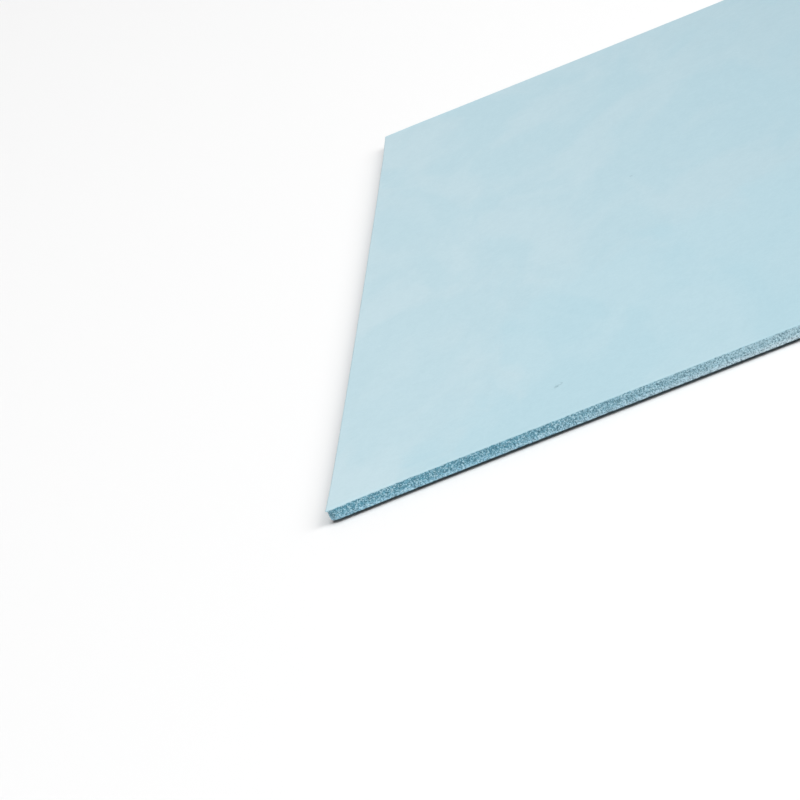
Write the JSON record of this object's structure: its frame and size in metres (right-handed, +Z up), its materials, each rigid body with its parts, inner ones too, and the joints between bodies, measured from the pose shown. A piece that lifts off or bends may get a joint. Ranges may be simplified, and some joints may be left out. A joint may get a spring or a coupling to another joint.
{
  "type": "thermal pad sheet",
  "caption": "Flat square sheet of soft blue filled silicone, smooth on both broad faces and knife cut round its sides, for filling the gap between a hot part and its cooler.",
  "frame": {"origin": "middle of the lower broad face, which lies on the ground", "axes": "+Z up through the thickness, +X and +Y along the two pairs of cut sides, with -Y towards the picture's camera"},
  "size_m": [0.145, 0.145, 0.0015],
  "materials": {
    "pad_sheet": "pale blue filled silicone, satin smooth on the broad faces and grainy on the cut faces"
  },
  "bodies": {
    "root": {"pad_sheet": "pad_sheet"}
  },
  "joints": []
}
